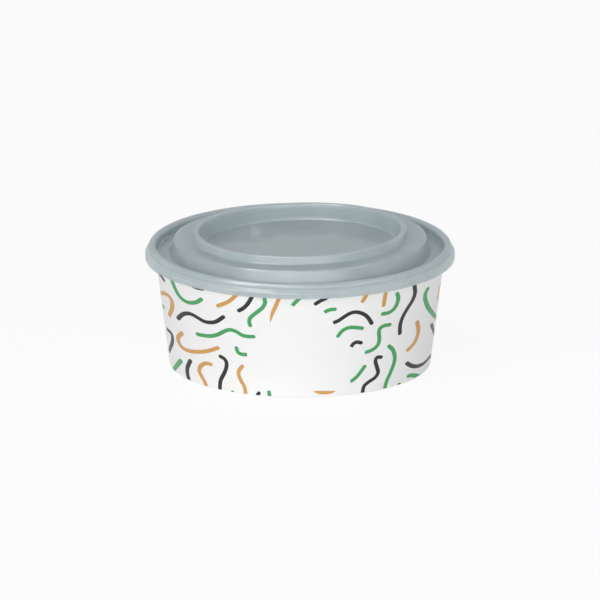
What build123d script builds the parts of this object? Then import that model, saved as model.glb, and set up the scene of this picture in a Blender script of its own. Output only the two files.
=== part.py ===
from build123d import *
import os
from math import cos, degrees, radians, sin, tan

# A round paperboard salad bowl with its clear-plastic lid pressed on. Millimetres, +Z up.
# The origin is on the floor under the bowl's centre, -Y is the front and the wall's
# glued seam is at the back.

# Sheet thicknesses
board = 0.45  # paperboard of the wall
disc_board = 0.45  # paperboard of the bottom disc
glue = 0.03  # heat-sealed coating between two layers of board
film = 0.4  # plastic film of the lid

# Wall
bowl_height = 73.55  # floor to the top of the rolled rim
foot_radius = 79.6  # outside of the wall at the floor
wall_lean = 7.15  # degrees that the wall opens from upright
hem_height = 4.8  # leg of the hem that is folded up inside
seam_azimuth = 90  # degrees from +X, the middle of the glued overlap
lap_width = 7.0  # overlap of the wall's two ends
lap_slope = 1.8  # length over which the overlap rises from the single board
lap_bite = 0.2  # depth that the overlap's solid reaches into the board under it

# Rolled rim, and the lid's rim that goes over it
roll_radius = 1.85  # outside of the rolled rim's round section
lid_gap = 0.25  # room between the lid and the rolled rim
rim_step = 52  # degrees turned at each corner of their round sections
roll_flats = 5
lid_rim_flats = 3

# Bottom disc
disc_height = 6.2  # floor to the upper face of the disc
disc_bend = 0.6  # flattened corner between the disc and its skirt
skirt_clearance = 0.05  # skirt's cut edge above the board under it

# Lid, given by the upper face of its film
panel_radius, panel_height = 60.2, 73.0  # sunk centre panel
crest_inner, crest_outer, crest_height = 61.6, 64.2, 83.1  # ring round the panel
crest_foot = 65.4  # where the ring's outer wall meets the ledge
ledge_radius, ledge_height = 76.9, 78.2  # outer corner of the flat ledge
gutter_inner, gutter_height = 79.3, 69.4  # groove just inside the bowl's mouth
shoulder_radius, shoulder_height = 94.3, 68.7  # the skirt's widest corner
lid_skirt_bottom = 66.4

# Directions in the section, where x is the radius and y is the height
lean = radians(wall_lean)
up = Vector(sin(lean), cos(lean))  # along the wall towards the rim
out = Vector(cos(lean), -sin(lean))  # square to the wall, away from the bowl's axis
inward = 180 - wall_lean  # degrees, square to the wall, towards the axis


def on_wall(height):
    """Radius of the wall's outer face at a height."""
    return foot_radius + height * tan(lean)


def round_corners(centre, radius, step, flats):
    """Corners of a round stretch of flats, which touch the radius and turn by a step.

    The first corner ends a straight run that passes the centre on its inward side.
    """
    reach = radius / cos(radians(step / 2))
    turns = [radians(inward + step * (corner + 0.5)) for corner in range(flats + 1)]
    return [centre + Vector(cos(turn), sin(turn)) * reach for turn in turns]


def sheet(face, thickness):
    """Outline of a sheet's section, from one face's corners with the sheet to their right."""
    face = [Vector(corner) for corner in face]
    runs = [(end - start).normalized() for start, end in zip(face, face[1:])]
    other_face = []
    for corner, before, after in zip(face, [runs[0], *runs], [*runs, runs[-1]]):
        side = Vector(before.Y + after.Y, -before.X - after.X)
        other_face.append(corner + side * (thickness / (1 + before.dot(after))))
    return [*face, *reversed(other_face)]


def section_plane(azimuth):
    """The upright half-plane through the bowl's axis at an azimuth in degrees."""
    turn = radians(azimuth)
    return Plane(
        origin=(0, 0, 0),
        x_dir=(cos(turn), sin(turn), 0),
        z_dir=(sin(turn), -cos(turn), 0),
    )


# The hem is folded round the disc's skirt and pressed flat, and the bowl stands on it
hem_width = 2 * board + disc_board + 2 * glue
foot_outside = Vector(foot_radius, 0)
foot_inside = foot_outside - Vector(hem_width / cos(lean), 0)
hem_end = foot_inside + up * hem_height

# The rim is rolled outwards, so the wall's outer face becomes the roll's inner one
roll_inside = roll_radius - board
roll_height = bowl_height - roll_radius
wall_top_height = roll_height + roll_inside * sin(lean)
wall_top = Vector(on_wall(wall_top_height), wall_top_height)
roll_centre = wall_top + out * roll_inside

# The overlap ends under the rolled rim
lap_turn = degrees(lap_width / on_wall(bowl_height / 2))
slope_turn = degrees(lap_slope / on_wall(bowl_height / 2))
lap_foot = foot_outside + up * board
lap_top = lap_foot + up * ((roll_height - roll_radius - lap_foot.Y) / cos(lean))


def lap_section(rise):
    """Corners of the overlap's section, which rises above the wall and bites into it."""
    return (
        lap_foot - out * lap_bite,
        lap_foot + out * rise,
        lap_top + out * rise,
        lap_top - out * lap_bite,
    )


# One blank of board: hem, wall and rolled rim
roll = round_corners(roll_centre, roll_inside, -rim_step, roll_flats)
printed_face = [*reversed(roll), foot_outside, foot_inside, hem_end]
with BuildPart() as side_wall:
    with BuildSketch(Plane.XZ):
        Polygon(*sheet(printed_face, board), align=None)
    revolve(axis=Axis.Z)

    # The blank's outer end lies over its inner end, from the hem to the rolled rim
    with BuildSketch(section_plane(seam_azimuth - lap_turn / 2)):
        Polygon(*lap_section(board), align=None)
    revolve(axis=Axis.Z, revolution_arc=lap_turn)

    # Its far side comes down to the single board again
    with BuildSketch(section_plane(seam_azimuth + lap_turn / 2)):
        Polygon(*lap_section(board), align=None)
    with BuildSketch(section_plane(seam_azimuth + lap_turn / 2 + slope_turn)):
        Polygon(*lap_section(0), align=None)
    loft(ruled=True)
side_wall.part.label = "side_wall"

# A disc of board with its edge turned down into the hem
skirt_end = foot_outside - out * (board + glue) + up * (board + skirt_clearance)
disc_corner = skirt_end + up * ((disc_height - skirt_end.Y) / cos(lean))
disc_face = [
    (0, disc_height),
    disc_corner - Vector(disc_bend, 0),
    disc_corner - up * disc_bend,
    skirt_end,
]
with BuildPart() as base_disc:
    with BuildSketch(Plane.XZ):
        Polygon(*sheet(disc_face, disc_board), align=None)
    revolve(axis=Axis.Z)
base_disc.part.label = "base_disc"

# One sheet of film: sunk panel, crest, ledge, gutter, plug, rim over the roll, skirt
rim_radius = roll_radius + lid_gap + film
lid_rim = round_corners(roll_centre, rim_radius, -rim_step, lid_rim_flats)
plug_low = lid_rim[0] - up * ((lid_rim[0].Y - gutter_height) / cos(lean))
lid_face = [
    (0, panel_height),
    (panel_radius, panel_height),
    (crest_inner, crest_height),
    (crest_outer, crest_height),
    (crest_foot, ledge_height),
    (ledge_radius, ledge_height),
    (gutter_inner, gutter_height),
    plug_low,
    *lid_rim,
    (shoulder_radius, shoulder_height),
    (shoulder_radius, lid_skirt_bottom),
]
with BuildPart() as lid:
    with BuildSketch(Plane.XZ):
        Polygon(*sheet(lid_face, film), align=None)
    revolve(axis=Axis.Z)
lid.part.label = "lid"

os.makedirs("parts", exist_ok=True)
export_step(side_wall.part, "parts/side_wall.step")
export_step(base_disc.part, "parts/base_disc.step")
export_step(lid.part, "parts/lid.step")
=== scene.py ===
from math import asin, atan2, cos, pi, radians, sin, tan

import bmesh
import bpy
import numpy as np
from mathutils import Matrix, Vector
from mathutils.geometry import delaunay_2d_cdt


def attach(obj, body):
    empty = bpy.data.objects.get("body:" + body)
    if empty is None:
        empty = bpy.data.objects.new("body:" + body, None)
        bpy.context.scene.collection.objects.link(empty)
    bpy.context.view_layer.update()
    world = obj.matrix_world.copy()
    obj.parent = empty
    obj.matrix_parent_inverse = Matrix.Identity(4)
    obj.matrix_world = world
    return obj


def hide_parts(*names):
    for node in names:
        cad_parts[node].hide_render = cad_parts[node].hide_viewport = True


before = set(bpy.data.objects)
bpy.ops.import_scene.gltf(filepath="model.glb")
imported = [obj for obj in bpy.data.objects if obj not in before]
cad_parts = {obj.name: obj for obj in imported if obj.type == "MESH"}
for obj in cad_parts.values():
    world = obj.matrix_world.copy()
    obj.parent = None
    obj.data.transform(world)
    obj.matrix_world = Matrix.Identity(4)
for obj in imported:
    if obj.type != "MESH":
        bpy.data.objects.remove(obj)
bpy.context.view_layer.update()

# A paperboard salad bowl with a grey plastic lid. Lengths are in millimetres, apart from those
# that are marked as metres. A section's points are (radius, height), and angles run from the
# front, -Y, towards +X.

MM = 0.001  # metres

# How finely the forms are cut
COLUMNS = 256  # steps round every turned form
CORNER_PARTS = 6  # steps round a rounded corner of the film
FOLD_PARTS = 8  # steps round a fold of the board
ROLL_PARTS = 34  # steps round the rolled rim
RIM_PARTS = 28  # steps round the film over it
LONGEST_STEP = 3.0  # between two points of the lid's section
SAME_SPOT = 1e-4  # points of a section that are nearer than this are one
WELD = 1e-7  # metres, between corners that are one
SHARP_ANGLE = radians(40)  # faces that meet at more than this have a sharp edge

# Sheets
BOARD = 0.45
DISC_BOARD = 0.45
GLUE = 0.03
FILM = 0.4

# The bowl
LEAN = radians(7.15)
UP = Vector((sin(LEAN), cos(LEAN)))
OUT = Vector((cos(LEAN), -sin(LEAN)))
INWARD = pi - LEAN  # square to the wall, towards the bowl's axis
FOOT_RADIUS = 79.6
ROLL_HEIGHT = 71.7
ROLL_RADIUS = 1.85
ROLL_INSIDE = ROLL_RADIUS - BOARD
ROLL_TURN = radians(312)
FOLD_RADIUS = 0.5
HEM_HEIGHT = 4.8
DISC_HEIGHT = 6.2
DISC_BEND = 1.0
SKIRT_CLEARANCE = 0.05

# The glued overlap at the back
LAP_WIDTH = 7.0
LAP_SLOPE = 1.8  # over which the outer layer comes down to the single board
LAP_FADE = 1.2  # over which it comes down at its upper and lower end
LAP_BOTTOM = 0.6
LAP_TOP = 69.4

# The flat blank of the wall, measured round it from the front and up its slope
BLANK_RADIUS = 84.0  # of the wall where a distance on the blank is true
LAP_TURN = LAP_WIDTH / BLANK_RADIUS
CUT = pi - LAP_TURN / 2  # angle of the blank's cut edge
PITCH = 2 * pi * BLANK_RADIUS / COLUMNS
BLANK_RIGHT = CUT * BLANK_RADIUS
BLANK_LEFT = BLANK_RIGHT - COLUMNS * PITCH
CLEAR_OF_EDGE = 0.02  # from the printed strokes to the blank's edges
CLEAR_OF_INK = 0.6  # from the blank's grid of points to a stroke's outline
HULL = 0  # the triangulation's kind of output that covers the whole blank
TOUCHING = 1e-5  # points of the triangulation that are nearer than this are one

# The lid's upper face
PANEL_RADIUS, PANEL_HEIGHT = 60.2, 73.0
CREST_INNER, CREST_OUTER, CREST_HEIGHT = 61.6, 64.7, 83.1
CREST_FOOT = 65.4
LEDGE_RADIUS, LEDGE_HEIGHT = 76.9, 78.2
GUTTER_INNER, GUTTER_HEIGHT = 79.3, 69.4
LID_FILLETS = [1.0, 0.8, 0.7, 0.8, 1.1, 1.2, 1.0]  # from the panel's edge to the plug's foot
LID_GAP = 0.2  # round the rolled rim
RIM_LIFT = 0.8  # of the film's rim above an even gap round the roll
NOTCH_TURN = radians(192)  # that the rim turns before the groove over the skirt
NOTCH_DEPTH = 0.03
NOTCH_DROP = 0.30
SHOULDER_RADIUS, SHOULDER_HEIGHT = 94.3, 69.5
SHOULDER_FILLET = 0.7
LID_BOTTOM = 66.4

# The lid's soft middle, which leans and is uneven inside the bowl's mouth
LEAN_WAY = radians(50)  # the side to which it stands highest
MIDDLE_LIFT = 0.4
MIDDLE_LEAN = 1.4  # at the crest
WALL_SHARE = 0.75  # of the looseness that the gutter's wall gives, and the ledge gives the rest
WAVES = ((3, 0.6, 0.12), (7, 2.2, 0.07), (13, 0.0, 0.04))  # times round, phase, height
WAVE_ASIDE = 0.6  # how far a wave moves the film outwards, as a share of its height

# The photograph's frame: 600 by 600 pixels, seen from a long way off
PHOTO_MM_PER_PX = 0.61
PHOTO_ELEVATION = radians(16.1)
PHOTO_CENTRE = 300
PHOTO_FLOOR_ROW = 360.9  # row of the point on the floor under the bowl's axis
PHOTO_SIZE = 600
SEARCH_STEPS = 20  # in which a pixel's height on the wall is found

# Printed strokes, as points of their middle lines in the photograph's pixels
STROKE_WIDTH = 2.4
STROKE_STEP = 0.8  # between two points of a stroke's middle line
CURVE_PARTS = 12  # steps of the smooth curve between two given points
END_PARTS = 9  # steps round a stroke's round end
LEAST_SQUEEZE = 0.42  # towards the sides a stroke is drawn wider, up to 1 over this times
TAPER = 8.0  # length over which a pointed end narrows
TAPER_FULLNESS = 0.8
LEAST_WIDTH = 0.03  # share of the full width at a pointed end's tip
FLAT, POINTED, ROUND = "flat", "pointed", "round"


def stroke(*points, start=ROUND, end=ROUND, taper=TAPER):
    return {"points": points, "start": start, "end": end, "taper": taper}


GREEN_STROKES = [
    stroke(
        (170.5, 274), (173, 281.5), (175.5, 288), (180, 296), (186, 301.2), (192, 302.8),
        (197.5, 302), (202, 299.3),
    ),
    stroke((163, 306), (164, 307)),
    stroke(
        (265, 292), (265, 299), (265.4, 303), (262.5, 308), (255.5, 313.5), (250.6, 318),
        (249.7, 321.7), (250.7, 325.3),
    ),
    stroke(
        (198.2, 334), (205, 335.3), (212, 335.7), (219, 334), (225, 331), (231, 329.5),
        (237, 331.5), (243, 335), (249, 336.2), (254, 336.3),
    ),
    stroke((181.2, 360.5), (177.5, 365), (174, 369.5)),
    stroke((237, 347.6), (238.5, 351.8), (242, 353.7), (247.5, 354.1), end=FLAT),
    stroke((233, 391.5), (233, 398)),
    stroke((269, 390), (270.2, 398), start=FLAT),
    stroke((304, 294), (298, 299.8), (294.3, 303.5), (292.2, 305.6), end=FLAT),
    stroke((324, 312.2), (327, 310.6), (331, 309.4), (334.4, 309.2), start=FLAT),
    stroke((337.7, 335.6), (342, 330.5), (348, 327.5), (354, 327.2), (361.5, 328)),
    stroke(
        (382.2, 313.7), (388, 312.5), (393.5, 308.5), (396.5, 303), (397.5, 298),
        (396.5, 293.8),
    ),
    stroke(
        (427, 289), (425, 293), (424.5, 298), (426.5, 305), (430, 310.5), (434.5, 316),
        (436.5, 318),
    ),
    stroke(
        (389, 324.5), (383.5, 325.5), (379.5, 328), (378.3, 332), (378.7, 338), (377.5, 344),
        (372.5, 349), (366, 351.7),
    ),
    stroke(
        (388.5, 345.8), (392.5, 350), (394.2, 357), (393, 364), (389.5, 373), (386, 381),
        (384, 389.5), (383.7, 394),
    ),
    stroke((408, 375.5), (413, 375), (418.5, 376.5)),
    stroke((364, 366), (360.5, 371), (356.5, 376), (351.5, 380.2)),
]
TAN_STROKES = [
    stroke(
        (160, 293), (162.5, 293), (166.5, 294), (171, 298), (172.8, 304), (172, 310),
        (169.8, 315),
    ),
    stroke((218.8, 305.8), (225, 303.5), (230, 301), (235, 296.8), (240, 291)),
    stroke(
        (282, 293), (279, 299), (275.5, 307), (272.8, 313), (271.3, 318), (270.5, 322.5),
        end=POINTED, taper=10.0,
    ),
    stroke(
        (182.5, 333.2), (179, 336.5), (178.8, 341), (182, 346.5), (188, 350.2), (196, 351.5),
        (205, 351.2), (212, 349.7), (218.5, 347.5),
    ),
    stroke(
        (211.3, 363.8), (206, 363), (201.5, 365.5), (199.7, 370.5), (202.5, 376.5),
        (205.5, 382), (207.5, 388),
    ),
    stroke(
        (242.8, 365.8), (239.7, 369.7), (239.2, 374.7), (241.8, 380.6), (245, 386.5),
        (246, 393), (246, 398),
    ),
    stroke((362.2, 301), (365, 296.5), (367, 292)),
    stroke((383, 305), (384, 298.5), (384.8, 294)),
    stroke((440, 285), (438.8, 290), (438, 295), (437.8, 299)),
    stroke((416.5, 322), (417.8, 328), (417, 335), (413.5, 343), (407.5, 349.5)),
    stroke(
        (313, 390.6), (318, 391.5), (324, 391.9), (330, 391.5), (335.5, 390.4), start=POINTED,
        end=POINTED, taper=6.6,
    ),
]
BLACK_STROKES = [
    stroke((158.5, 272), (161, 275.5), (164.2, 279.8)),
    stroke((193.7, 286.2), (198, 288), (203, 288.9)),
    stroke(
        (178.8, 318.3), (183, 314.5), (188, 313.3), (193, 314.5), (199, 318), (205, 321.3),
        (211, 322.3), (217, 321.3), (224, 316.8),
    ),
    stroke((239.5, 310.5), (244, 308), (248, 304), (252, 297.5), (254, 292)),
    stroke((167.5, 329.2), (171.5, 333), (172.8, 338), (172, 344), (169.5, 351)),
    stroke((190.8, 360.5), (188, 367), (187.8, 373), (189.5, 380), (191, 385)),
    stroke(
        (221, 356), (225.5, 359), (227.2, 364), (225.5, 371), (221.5, 379), (220.5, 385),
        (220.5, 392),
    ),
    stroke((259.2, 392.4), (256.5, 397)),
    stroke((315.5, 303.8), (320, 301), (325, 298.6), (331, 295)),
    stroke(
        (332.8, 322.6), (338, 320.5), (344, 316.5), (350, 313), (356, 312), (362, 313.5),
        (367, 317), (371, 323), start=FLAT,
    ),
    stroke((350.8, 346.6), (352.8, 343.4), (356.5, 341.7), (360.4, 342.4), start=FLAT),
    stroke(
        (413.6, 282), (414, 288), (414.3, 293), (412, 300), (407, 308), (402, 317),
        (399.5, 325), (399.2, 333),
    ),
    stroke(
        (380.3, 356.8), (376.5, 357), (374.9, 361), (376.5, 367), (377.5, 372), (374.5, 377),
        (368, 381.5), (363.5, 385.8), (361.8, 393),
    ),
    stroke((431.2, 324.8), (433.5, 331), (435, 336)),
    stroke((406.5, 363), (411, 365.5), (416.5, 366), (423, 363.5), (429, 357.5), (432, 354)),
    stroke((398.5, 384.3), (398.8, 390)),
]
STROKES = {"green": GREEN_STROKES, "tan": TAN_STROKES, "black": BLACK_STROKES}

# Strokes at the back, opposite to the bare patch in the middle of the front
BACK_STROKES = {
    "green": [
        stroke((284, 345), (291, 349), (299, 348), (306, 342), (313, 341)),
        stroke((280, 362), (287, 359), (293, 363), (296, 371), (303, 374)),
        stroke((341, 352), (345, 360), (343, 369), (338, 376)),
    ],
    "tan": [
        stroke((265, 343), (269, 336), (277, 333), (284, 336)),
        stroke((322, 338), (326, 345), (324, 353), (318, 358)),
        stroke((277, 377), (281, 385), (288, 388)),
    ],
    "black": [
        stroke((289, 325), (296, 320), (305, 320), (312, 326)),
        stroke((260, 353), (267, 357), (269, 364), (265, 371)),
        stroke((310, 367), (317, 371), (326, 369), (333, 363)),
    ],
}

# Board and ink
INKS = {
    "green": (0.070, 0.365, 0.122),
    "tan": (0.655, 0.348, 0.108),
    "black": (0.030, 0.029, 0.029),
}
COATED_BOARD = (0.90, 0.90, 0.90)
CUT_BOARD = (0.80, 0.77, 0.70)
PLAIN_BOARD = (0.88, 0.88, 0.87)
BOARD_SPECULAR = 0.25
FIBRE_SCALE = 900  # per metre
FIBRE_DETAIL = 4.0
FIBRE_DEPTH = 0.00001  # metres
FIBRE_STRENGTH = 0.3

# Film: its own colours, the haze that glows with light from behind, and its gloss
FILM_DARK = (0.485, 0.56, 0.58)
FILM_LIGHT = (0.525, 0.60, 0.62)
HAZE_DARK = (0.84, 0.90, 0.915)
HAZE_LIGHT = (0.88, 0.93, 0.945)
HAZE_SHARE = 0.26
FILM_ROUGHNESS = 0.34
FILM_SETTINGS = {
    "IOR": 1.49,
    "Specular IOR Level": 0.1,
    "Coat Weight": 0.45,
    "Coat Roughness": 0.06,
    "Coat IOR": 2.6,
    "Alpha": 0.60,  # of each of the sheet's two faces
}
CLOUD_SCALE = 60  # per metre
CLOUD_DETAIL = 3.0
CLOUD_DEPTH = 0.0001  # metres
CLOUD_STRENGTH = 0.25

RAMP_START, RAMP_END = 0.35, 0.65  # of the noise, between a material's two colours

# Floor and surroundings, in metres
WHITE = (1, 1, 1, 1)
FLOOR_COLOUR = (0.95, 0.95, 0.95, 1)
FLOOR_ROUGHNESS = 0.9
FLOOR_REACH = 6.0
FLOOR_DROP = 0.0001
FLOOR_GLOW = 0.9  # share of plain white where the floor is looked at
WORLD_LIGHT = 0.36

# Lamps, in metres: name, place, width, height, power in watts, and whether only
# reflections show it
LAMP_TARGET = (0, 0, 0.04)
SOFTBOXES = [
    ("left", (-1.55, -1.50, 1.10), 1.0, 0.7, 17, False),
    ("right", (1.75, -1.18, 1.10), 0.8, 0.7, 10, False),
    ("front", (-0.3, -2.6, 0.80), 7.0, 1.2, 95, False),
    ("top", (-0.8, -0.4, 2.2), 2.0, 0.5, 14, False),
    ("left_glint", (-1.50, -1.45, 1.25), 1.1, 1.0, 26, True),
    ("right_glint", (1.70, -1.14, 1.25), 0.8, 1.0, 20, True),
    ("top_glint", (-0.9, -1.2, 1.9), 2.6, 1.2, 100, True),
]

# Camera
CAMERA_DISTANCE = 8.0  # metres
SENSOR_WIDTH = 36.0


# Sections and turned forms

def point(x, y):
    return Vector((x, y))


def clamped(value):
    return min(1.0, max(0.0, value))


def arc(centre, radius, start, turn, parts):
    """Points of a round stretch, both ends included."""
    angles = [start + turn * i / parts for i in range(parts + 1)]
    return [centre + radius * point(cos(a), sin(a)) for a in angles]


def rounded(corners, radii, parts):
    """A run of corners, with each inner one rounded to its radius."""
    run = [corners[0]]
    for before, corner, after, radius in zip(corners, corners[1:], corners[2:], radii):
        into = (corner - before).normalized()
        away = (after - corner).normalized()
        turn = atan2(into.x * away.y - into.y * away.x, into.dot(away))
        start = corner - into * radius * tan(abs(turn) / 2)
        side = point(-into.y, into.x) * (radius if turn > 0 else -radius)
        centre = start + side
        run += arc(centre, radius, atan2(-side.y, -side.x), turn, parts)
    return run + [corners[-1]]


def beside(run, distance):
    """The same run of points at a distance to its right."""
    ways = [(b - a).normalized() for a, b in zip(run, run[1:])]
    moved = []
    for spot, before, after in zip(run, [ways[0], *ways], [*ways, ways[-1]]):
        right = point(before.y + after.y, -before.x - after.x)
        moved.append(spot + right * distance / (1 + before.dot(after)))
    return moved


def without_repeats(run):
    kept = [run[0]]
    for spot in run[1:]:
        if (spot - kept[-1]).length > SAME_SPOT:
            kept.append(spot)
    return kept


def divided(run, longest):
    """The same run with extra points, so that its stretches are about a length or less."""
    points = [run[0]]
    for a, b in zip(run, run[1:]):
        parts = max(1, round((b - a).length / longest))
        points += [a.lerp(b, i / parts) for i in range(1, parts + 1)]
    return points


def turned(radius, height, angle):
    """A section's point turned to an angle from the front."""
    return (radius * sin(angle), -radius * cos(angle), height)


def turn_sheet(run, thickness, shape=lambda spot, angle: spot):
    """Corners and faces of a sheet that is turned round the axis, from its face on the left."""
    other = beside(run, thickness)
    other[0] = point(0, run[0].y - thickness) if run[0].x == 0 else other[0]
    loop = run + other[::-1]
    corners, rows = [], []
    for spot in loop:
        if spot.x == 0:
            rows.append([len(corners)] * COLUMNS)
            corners.append(turned(*shape(spot, 0), 0))
            continue
        rows.append(list(range(len(corners), len(corners) + COLUMNS)))
        for column in range(COLUMNS):
            angle = 2 * pi * column / COLUMNS
            corners.append(turned(*shape(spot, angle), angle))
    faces = []
    for a, b in zip(rows, rows[1:]):
        for k in range(COLUMNS):
            after = (k + 1) % COLUMNS
            face = [a[k], b[k], b[after], a[after]]
            face = [c for i, c in enumerate(face) if c != face[i - 1]]
            if len(face) > 2:
                faces.append(face)
    return corners, faces


def new_piece(name, corners, faces, materials, face_materials=None):
    """An object with a smooth, welded mesh, written in metres."""
    mesh = bpy.data.meshes.new(name)
    mesh.from_pydata([Vector(c) * MM for c in corners], [], faces)
    for material in materials:
        mesh.materials.append(material)
    if face_materials is not None:
        mesh.polygons.foreach_set("material_index", face_materials)
    mesh.polygons.foreach_set("use_smooth", [True] * len(mesh.polygons))
    join_corners(mesh)
    piece = bpy.data.objects.new(name, mesh)
    bpy.context.scene.collection.objects.link(piece)
    return piece


def join_corners(mesh):
    """Welds corners that share a place, turns the faces outwards and marks sharp edges."""
    work = bmesh.new()
    work.from_mesh(mesh)
    bmesh.ops.remove_doubles(work, verts=work.verts, dist=WELD)
    bmesh.ops.recalc_face_normals(work, faces=work.faces)
    work.to_mesh(mesh)
    work.free()
    mesh.set_sharp_from_angle(angle=SHARP_ANGLE)


# Printed strokes on the flat blank

def on_blank(column, row):
    """Distance round the wall from the front and height up its slope, at a pixel."""
    across = (column - PHOTO_CENTRE) * PHOTO_MM_PER_PX
    above = (PHOTO_FLOOR_ROW - row) * PHOTO_MM_PER_PX
    height = 0.0
    for _ in range(SEARCH_STEPS):
        radius = FOOT_RADIUS + height * tan(LEAN)
        angle = asin(max(-1.0, min(1.0, across / radius)))
        height = (above + radius * cos(angle) * sin(PHOTO_ELEVATION)) / cos(PHOTO_ELEVATION)
    return point(angle * BLANK_RADIUS, height / cos(LEAN))


def smooth_path(points, step):
    """A curve through the points, by Catmull and Rom's rule, in even steps."""
    if len(points) == 2:
        points = [points[0], points[0].lerp(points[1], 0.5), points[1]]
    ends = [points[0] * 2 - points[1], *points, points[-1] * 2 - points[-2]]
    fine = []
    for a, b, c, d in zip(ends, ends[1:], ends[2:], ends[3:]):
        for i in range(CURVE_PARTS):
            t = i / CURVE_PARTS
            fine.append(0.5 * (2 * b + (c - a) * t + (2 * a - 5 * b + 4 * c - d) * t ** 2
                               + (3 * b - 3 * c + d - a) * t ** 3))
    fine.append(points[-1])
    lengths = np.cumsum([0] + [(b - a).length for a, b in zip(fine, fine[1:])])
    parts = max(2, round(lengths[-1] / step))
    at = np.linspace(0, lengths[-1], parts + 1)
    xs = np.interp(at, lengths, [p.x for p in fine])
    ys = np.interp(at, lengths, [p.y for p in fine])
    return [point(x, y) for x, y in zip(xs, ys)]


def squeezed(spot):
    """How much a place on the blank is narrowed by the wall's turn from the front."""
    return max(LEAST_SQUEEZE, cos(spot.x / BLANK_RADIUS))


def width_share(gone, left, drawn):
    """The share of its full width that a stroke has, by the lengths to its two ends."""
    share = 1.0
    for end, length in ((drawn["start"], gone), (drawn["end"], left)):
        if end == POINTED and length < drawn["taper"]:
            share *= sin(pi / 2 * length / drawn["taper"]) ** TAPER_FULLNESS
    return max(share, LEAST_WIDTH)


def round_end(spot, way):
    """Points of a half circle round a stroke's end, from its right side to its left."""
    turn = atan2(way.y, way.x)
    squeeze = squeezed(spot)
    points = []
    for i in range(1, END_PARTS):
        angle = turn - pi / 2 + pi * i / END_PARTS
        points.append(spot + STROKE_WIDTH / 2 * point(cos(angle) / squeeze, sin(angle)))
    return points


def stroke_outline(drawn):
    """The closed outline of a stroke on the blank."""
    path = smooth_path([on_blank(*pixel) for pixel in drawn["points"]], STROKE_STEP)
    last = len(path) - 1
    left, right, ways = [], [], []
    for i, spot in enumerate(path):
        squeeze = squeezed(spot)
        way = path[min(i + 1, last)] - path[max(i - 1, 0)]
        way = point(way.x * squeeze, way.y).normalized()
        half = STROKE_WIDTH / 2 * width_share(i * STROKE_STEP, (last - i) * STROKE_STEP, drawn)
        side = point(-way.y * half / squeeze, way.x * half)
        left.append(spot + side)
        right.append(spot - side)
        ways.append(way)
    head = round_end(path[-1], ways[-1]) if drawn["end"] == ROUND else []
    tail = round_end(path[0], -ways[0]) if drawn["start"] == ROUND else []
    return [*right, *head, *left[::-1], *tail]


def clipped(outline, axis, limit, keep_below):
    """The part of an outline on one side of a line across the blank."""
    kept = []
    for a, b in zip([outline[-1], *outline], outline):
        inside_a = (a[axis] <= limit) == keep_below
        inside_b = (b[axis] <= limit) == keep_below
        if inside_a != inside_b:
            kept.append(a.lerp(b, (limit - a[axis]) / (b[axis] - a[axis])))
        if inside_b:
            kept.append(b)
    return kept


def within_blank(outline, low, high):
    """The part of an outline that lies a hair inside the printed face."""
    for axis, limit, below in (
        (0, BLANK_LEFT + CLEAR_OF_EDGE, False),
        (0, BLANK_RIGHT - CLEAR_OF_EDGE, True),
        (1, low + CLEAR_OF_EDGE, False),
        (1, high - CLEAR_OF_EDGE, True),
    ):
        if outline:
            outline = clipped(outline, axis, limit, below)
    return outline


def ink_outlines(low, high):
    """Every printed stroke's outline on the blank, with its ink."""
    for strokes, half_turns in ((STROKES, range(-2, 3)), (BACK_STROKES, (-1, 1))):
        for ink, group in strokes.items():
            for drawn in group:
                outline = stroke_outline(drawn)
                for half_turn in half_turns:
                    across = half_turn * pi * BLANK_RADIUS
                    moved = [spot + point(across, 0) for spot in outline]
                    moved = within_blank(moved, low, high)
                    if len(moved) > 2:
                        yield ink, moved


# The bowl

def roll_centre(lift=0.0):
    """The middle of the rolled rim's section, or a place at a lift above it."""
    height = ROLL_HEIGHT + ROLL_INSIDE * sin(LEAN)
    return point(FOOT_RADIUS + height * tan(LEAN), height + lift) + OUT * ROLL_INSIDE


def bowl_section():
    """The printed face's section: the roll from its end, and the wall's foot to the hem's end."""
    roll = arc(roll_centre(), ROLL_INSIDE, INWARD - ROLL_TURN, ROLL_TURN, ROLL_PARTS)
    hem_width = 2 * BOARD + DISC_BOARD + 2 * GLUE
    foot_inside = point(FOOT_RADIUS - hem_width / cos(LEAN), 0)
    hem_end = foot_inside + UP * HEM_HEIGHT
    corners = [roll[-1], point(FOOT_RADIUS, 0), foot_inside, hem_end]
    fold = rounded(corners, [FOLD_RADIUS, FOLD_RADIUS], FOLD_PARTS)
    return roll, fold[1:]


def lap_rise(across, slant):
    """How far the overlap stands out of the wall, at a place on the blank."""
    along = across - BLANK_LEFT
    rise = clamped((LAP_WIDTH + LAP_SLOPE - along) / LAP_SLOPE)
    ends = min(slant - LAP_BOTTOM, LAP_TOP - slant) / LAP_FADE
    return BOARD * rise * clamped(ends)


def on_skin(across, slant):
    """The place of a point of the blank on the printed wall."""
    spot = point(FOOT_RADIUS, 0) + UP * slant + OUT * lap_rise(across, slant)
    return turned(spot.x, spot.y, across / BLANK_RADIUS)


def signed_area(outline):
    return sum(a.x * b.y - b.x * a.y for a, b in zip(outline, [*outline[1:], outline[0]])) / 2


def clear_of_ink(acrosses, slants, inked):
    """The blank's inner grid of points, apart from those that are close to a stroke's outline."""
    for u in acrosses[1:-1]:
        near = inked[np.abs(inked[:, 0] - u) < CLEAR_OF_INK]
        for v in slants[1:-1]:
            if not len(near) or np.min(np.hypot(near[:, 0] - u, near[:, 1] - v)) > CLEAR_OF_INK:
                yield point(u, v)


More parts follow.
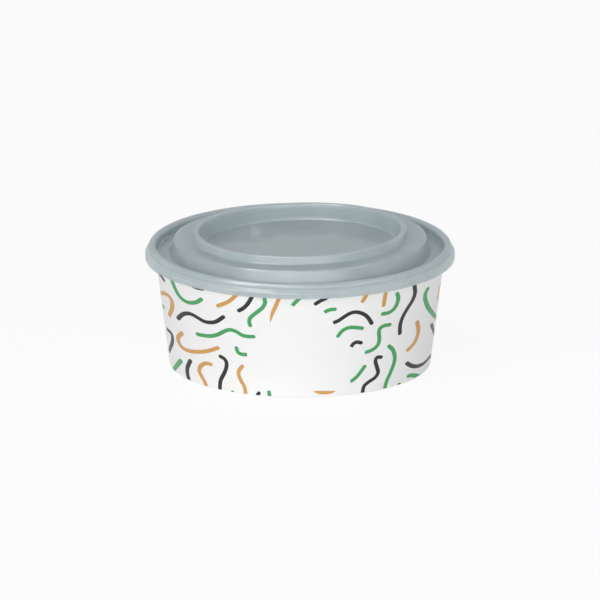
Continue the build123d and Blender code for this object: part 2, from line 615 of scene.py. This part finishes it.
def printed_skin(slants):
    """Corners, faces and slots of the wall's printed face, cut from the flat blank."""
    low, high = slants[0], slants[-1]
    acrosses = [BLANK_LEFT + PITCH * k for k in range(COLUMNS + 1)]
    spots, edges, outlines, inks = [], [], [], []
    for border in (
        [point(u, low) for u in acrosses],
        [point(u, high) for u in acrosses],
        [point(BLANK_LEFT, v) for v in slants],
        [point(BLANK_RIGHT, v) for v in slants],
    ):
        start = len(spots)
        spots += border
        edges += [(start + i, start + i + 1) for i in range(len(border) - 1)]
    for ink, outline in ink_outlines(low, high):
        outline = outline[::-1] if signed_area(outline) < 0 else outline
        outlines.append(list(range(len(spots), len(spots) + len(outline))))
        inks.append(ink)
        spots += outline
    inked = np.array([spots[i] for outline in outlines for i in outline])
    spots += clear_of_ink(acrosses, slants, inked)
    cut = delaunay_2d_cdt(spots, edges, outlines, HULL, TOUCHING, True)
    cut_spots, cut_faces, face_outlines = cut[0], cut[2], cut[5]
    corners = [on_skin(*spot) for spot in cut_spots]
    slots = [inks[own[0]] if own else "board" for own in face_outlines]
    return corners, cut_faces, slots


def cut_edge(slants):
    """Corners, faces and slots of the raw board at the overlap's cut edge."""
    corners = [on_skin(u, v) for v in slants for u in (BLANK_LEFT, BLANK_RIGHT)]
    faces = [(i, i + 1, i + 3, i + 2) for i in range(0, len(corners) - 2, 2)]
    return corners, faces, ["raw_edge"] * len(faces)


def bare_board(roll, fold):
    """Corners, faces and slots of the rest of the board: fold, hem, inside and rolled rim."""
    other = beside([*roll, *fold], BOARD)
    ring = [*fold, *other[::-1], *roll]
    cut_rows = (len(fold) - 1, len(ring) - len(roll) - 1)
    corners, faces, slots = [], [], []
    for spot in ring:
        for k in range(COLUMNS):
            corners.append(turned(spot.x, spot.y, CUT + 2 * pi * k / COLUMNS))
    for row in range(len(ring) - 1):
        a, b = row * COLUMNS, (row + 1) * COLUMNS
        for k in range(COLUMNS):
            after = (k + 1) % COLUMNS
            faces.append((a + k, b + k, b + after, a + after))
            slots.append("raw_edge" if row in cut_rows else "board")
    return corners, faces, slots


def make_side_wall(materials):
    """One blank of board: rolled rim, printed wall, lap at the back and pressed hem."""
    roll, fold = bowl_section()
    foot = point(FOOT_RADIUS, 0)
    low = (fold[0] - foot).dot(UP)
    high = (roll[-1] - foot).dot(UP)
    rows = max(1, round((high - low) / PITCH))
    slants = [low + (high - low) * j / rows for j in range(rows + 1)]
    slot_numbers = {name: i for i, name in enumerate(materials)}
    corners, faces, face_materials = [], [], []
    for part in (printed_skin(slants), cut_edge(slants), bare_board(roll, fold)):
        part_corners, part_faces, part_slots = part
        start = len(corners)
        corners += part_corners
        faces += [tuple(start + i for i in face) for face in part_faces]
        face_materials += [slot_numbers[slot] for slot in part_slots]
    return new_piece("paper_wall", corners, faces, materials.values(), face_materials)


def make_base_disc(material):
    """A disc of plain board with its edge turned down into the hem."""
    skirt_end = point(FOOT_RADIUS, 0) - OUT * (BOARD + GLUE) + UP * (BOARD + SKIRT_CLEARANCE)
    corner = skirt_end + UP * ((DISC_HEIGHT - skirt_end.y) / cos(LEAN))
    run = rounded([point(0, DISC_HEIGHT), corner, skirt_end], [DISC_BEND], FOLD_PARTS)
    corners, faces = turn_sheet(run, DISC_BOARD)
    return new_piece("paper_base", corners, faces, [material])


# The lid

def settled(spot, angle):
    """A place on the soft film, with its lean and unevenness inside the bowl's mouth."""
    wall = (GUTTER_INNER - spot.x) / (GUTTER_INNER - LEDGE_RADIUS)
    ledge = (LEDGE_RADIUS - spot.x) / (LEDGE_RADIUS - CREST_FOOT)
    loose = WALL_SHARE * clamped(wall) + (1 - WALL_SHARE) * clamped(ledge)
    out = min(1.0, spot.x / CREST_INNER)
    lean = MIDDLE_LIFT + MIDDLE_LEAN * out * cos(angle - LEAN_WAY)
    wave = sum(height * sin(times * angle + phase) for times, phase, height in WAVES)
    return spot.x + WAVE_ASIDE * loose * out * wave, spot.y + loose * (lean + out * wave)


def lid_section():
    """The upper face of the film, from its middle to the skirt's lower edge."""
    rim_radius = ROLL_RADIUS + LID_GAP + FILM
    rim = arc(roll_centre(RIM_LIFT), rim_radius, INWARD, -NOTCH_TURN, RIM_PARTS)
    plug_low = rim[0] - UP * ((rim[0].y - GUTTER_HEIGHT) / cos(LEAN))
    middle = [
        point(0, PANEL_HEIGHT),
        point(PANEL_RADIUS, PANEL_HEIGHT),
        point(CREST_INNER, CREST_HEIGHT),
        point(CREST_OUTER, CREST_HEIGHT),
        point(CREST_FOOT, LEDGE_HEIGHT),
        point(LEDGE_RADIUS, LEDGE_HEIGHT),
        point(GUTTER_INNER, GUTTER_HEIGHT),
        plug_low,
        rim[0],
    ]
    skirt = [
        rim[-1] - point(NOTCH_DEPTH, NOTCH_DROP),
        point(SHOULDER_RADIUS, SHOULDER_HEIGHT),
        point(SHOULDER_RADIUS, LID_BOTTOM),
    ]
    middle = rounded(middle, LID_FILLETS, CORNER_PARTS)
    skirt = rounded(skirt, [SHOULDER_FILLET], CORNER_PARTS)
    return divided(without_repeats([*middle[:-1], *rim, *skirt]), LONGEST_STEP)


def make_lid(material):
    """One sheet of film: panel, crest, ledge, gutter, rim over the roll, and skirt."""
    corners, faces = turn_sheet(lid_section(), FILM, settled)
    return new_piece("film_lid", corners, faces, [material])


# Materials

def feed(links, source, socket):
    """Gives a socket a plain number, or another node's output."""
    if isinstance(source, (int, float)):
        socket.default_value = source
    else:
        links.new(source, socket)


def maths(nodes, links, operation, *sources):
    """The result of a Math node."""
    node = nodes.new("ShaderNodeMath")
    node.operation = operation
    for source, socket in zip(sources, node.inputs):
        feed(links, source, socket)
    return node.outputs[0]


def mixed(nodes, links, share, first, second):
    """Two shaders, with a share of the second."""
    mix = nodes.new("ShaderNodeMixShader")
    feed(links, share, mix.inputs["Fac"])
    links.new(first.outputs[0], mix.inputs[1])
    links.new(second.outputs[0], mix.inputs[2])
    return mix.outputs[0]


def new_material(name, roughness):
    material = bpy.data.materials.new(name)
    material.use_nodes = True
    shader = material.node_tree.nodes["Principled BSDF"]
    shader.inputs["Roughness"].default_value = roughness
    return material, material.node_tree.nodes, material.node_tree.links, shader


def grain(nodes, links, scale, detail):
    """Noise that is fixed to the object, in metres."""
    where = nodes.new("ShaderNodeTexCoord")
    noise = nodes.new("ShaderNodeTexNoise")
    noise.inputs["Scale"].default_value = scale
    noise.inputs["Detail"].default_value = detail
    links.new(where.outputs["Object"], noise.inputs["Vector"])
    return noise.outputs["Fac"]


def shaded(nodes, links, factor, dark, light):
    """A colour between two, by a factor."""
    ramp = nodes.new("ShaderNodeValToRGB")
    for stop, position, colour in zip(
        ramp.color_ramp.elements, (RAMP_START, RAMP_END), (dark, light)
    ):
        stop.position = position
        stop.color = (*colour, 1)
    links.new(factor, ramp.inputs["Fac"])
    return ramp.outputs["Color"]


def raised(nodes, links, factor, distance, strength):
    """A surface that is raised and lowered by a factor."""
    bump = nodes.new("ShaderNodeBump")
    bump.inputs["Distance"].default_value = distance
    bump.inputs["Strength"].default_value = strength
    links.new(factor, bump.inputs["Height"])
    return bump.outputs["Normal"]


def make_board(name, colour, spread, roughness):
    """Coated board, or ink on it: nearly even, with a faint fibre under the coating."""
    material, nodes, links, shader = new_material(name, roughness)
    fibre = grain(nodes, links, FIBRE_SCALE, FIBRE_DETAIL)
    dark = tuple(c * (1 - spread) for c in colour)
    light = tuple(min(1.0, c * (1 + spread)) for c in colour)
    links.new(shaded(nodes, links, fibre, dark, light), shader.inputs["Base Color"])
    links.new(raised(nodes, links, fibre, FIBRE_DEPTH, FIBRE_STRENGTH), shader.inputs["Normal"])
    shader.inputs["Specular IOR Level"].default_value = BOARD_SPECULAR
    return material


def make_film():
    """Grey, hazy plastic film that lets much of the light through."""
    material, nodes, links, shader = new_material("grey_film", FILM_ROUGHNESS)
    cloud = grain(nodes, links, CLOUD_SCALE, CLOUD_DETAIL)
    links.new(shaded(nodes, links, cloud, FILM_DARK, FILM_LIGHT), shader.inputs["Base Color"])
    links.new(raised(nodes, links, cloud, CLOUD_DEPTH, CLOUD_STRENGTH), shader.inputs["Normal"])
    for socket, value in FILM_SETTINGS.items():
        shader.inputs[socket].default_value = value
    haze = nodes.new("ShaderNodeBsdfTranslucent")
    links.new(shaded(nodes, links, cloud, HAZE_DARK, HAZE_LIGHT), haze.inputs["Color"])
    film = mixed(nodes, links, HAZE_SHARE, shader, haze)
    links.new(film, nodes["Material Output"].inputs["Surface"])
    return material


# Studio

def seen_directly(nodes, links):
    """One where a camera, glossy or transmission ray looks."""
    path = nodes.new("ShaderNodeLightPath")
    total = path.outputs["Is Camera Ray"]
    for name in ("Is Glossy Ray", "Is Transmission Ray"):
        total = maths(nodes, links, "MAXIMUM", total, path.outputs[name])
    return total


def make_floor():
    """A plain white floor that keeps the bowl's shadow."""
    corners = [(-1, -1), (1, -1), (1, 1), (-1, 1)]
    corners = [(FLOOR_REACH * x, FLOOR_REACH * y, -FLOOR_DROP) for x, y in corners]
    mesh = bpy.data.meshes.new("floor")
    mesh.from_pydata(corners, [], [(0, 1, 2, 3)])
    floor = bpy.data.objects.new("floor", mesh)
    bpy.context.scene.collection.objects.link(floor)
    material, nodes, links, shader = new_material("floor", FLOOR_ROUGHNESS)
    shader.inputs["Base Color"].default_value = FLOOR_COLOUR
    glow = nodes.new("ShaderNodeEmission")
    glow.inputs["Color"].default_value = WHITE
    glow.inputs["Strength"].default_value = 1.0
    share = maths(nodes, links, "MULTIPLY", seen_directly(nodes, links), FLOOR_GLOW)
    surface = mixed(nodes, links, share, shader, glow)
    links.new(surface, nodes["Material Output"].inputs["Surface"])
    mesh.materials.append(material)


def make_world():
    """White to look at, and a softer light than that on the bowl."""
    world = bpy.data.worlds.new("studio")
    bpy.context.scene.world = world
    world.use_nodes = True
    nodes, links = world.node_tree.nodes, world.node_tree.links
    dim = nodes["Background"]
    white = nodes.new("ShaderNodeBackground")
    for background, strength in ((dim, WORLD_LIGHT), (white, 1.0)):
        background.inputs["Color"].default_value = WHITE
        background.inputs["Strength"].default_value = strength
    surroundings = mixed(nodes, links, seen_directly(nodes, links), dim, white)
    links.new(surroundings, nodes["World Output"].inputs["Surface"])


def make_softbox(name, place, width, height, power, glints_only):
    """A lamp whose cloth is brightest in its middle and fades towards its edges."""
    lamp = bpy.data.lights.new(name, "AREA")
    lamp.shape = "RECTANGLE"
    lamp.size = width
    lamp.size_y = height
    lamp.energy = power
    lamp.use_nodes = True
    nodes, links = lamp.node_tree.nodes, lamp.node_tree.links
    cloth = nodes.new("ShaderNodeNewGeometry")
    sides = nodes.new("ShaderNodeSeparateXYZ")
    links.new(cloth.outputs["Parametric"], sides.inputs[0])
    humps = []
    for side in ("X", "Y"):
        turn = maths(nodes, links, "MULTIPLY", sides.outputs[side], pi)
        humps.append(maths(nodes, links, "SINE", turn))
    strength = maths(nodes, links, "MULTIPLY", *humps)
    links.new(strength, nodes["Emission"].inputs["Strength"])
    box = bpy.data.objects.new(name, lamp)
    box.location = place
    aim = Vector(LAMP_TARGET) - Vector(place)
    box.rotation_euler = aim.to_track_quat("-Z", "Y").to_euler()
    box.visible_diffuse = not glints_only
    box.visible_transmission = not glints_only
    bpy.context.scene.collection.objects.link(box)


def make_camera():
    """A long lens at the photograph's angle, level with the middle of its frame."""
    frame_width = PHOTO_SIZE * PHOTO_MM_PER_PX * MM
    data = bpy.data.cameras.new("camera")
    data.sensor_width = SENSOR_WIDTH
    data.lens = SENSOR_WIDTH * CAMERA_DISTANCE / frame_width
    camera = bpy.data.objects.new("camera", data)
    middle = (PHOTO_FLOOR_ROW - PHOTO_CENTRE) * PHOTO_MM_PER_PX * MM / cos(PHOTO_ELEVATION)
    away = Vector((0, -cos(PHOTO_ELEVATION), sin(PHOTO_ELEVATION)))
    camera.location = Vector((0, 0, middle)) + away * CAMERA_DISTANCE
    camera.rotation_euler = (pi / 2 - PHOTO_ELEVATION, 0, 0)
    bpy.context.scene.collection.objects.link(camera)
    bpy.context.scene.camera = camera


wall_materials = {
    "board": make_board("white_board", COATED_BOARD, spread=0.012, roughness=0.42),
    "raw_edge": make_board("cut_board", CUT_BOARD, spread=0.05, roughness=0.8),
}
for ink_name, ink_colour in INKS.items():
    ink = make_board(ink_name + "_ink", ink_colour, spread=0.03, roughness=0.40)
    wall_materials[ink_name] = ink

side_wall = make_side_wall(wall_materials)
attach(side_wall, "bowl")
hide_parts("side_wall")

disc_material = make_board("plain_white_board", PLAIN_BOARD, spread=0.02, roughness=0.5)
base_disc = make_base_disc(disc_material)
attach(base_disc, "bowl")
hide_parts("base_disc")

lid = make_lid(make_film())
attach(lid, "lid_body")
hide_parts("lid")

bpy.context.scene.view_settings.view_transform = "Standard"
make_floor()
make_world()
for softbox in SOFTBOXES:
    make_softbox(*softbox)
make_camera()
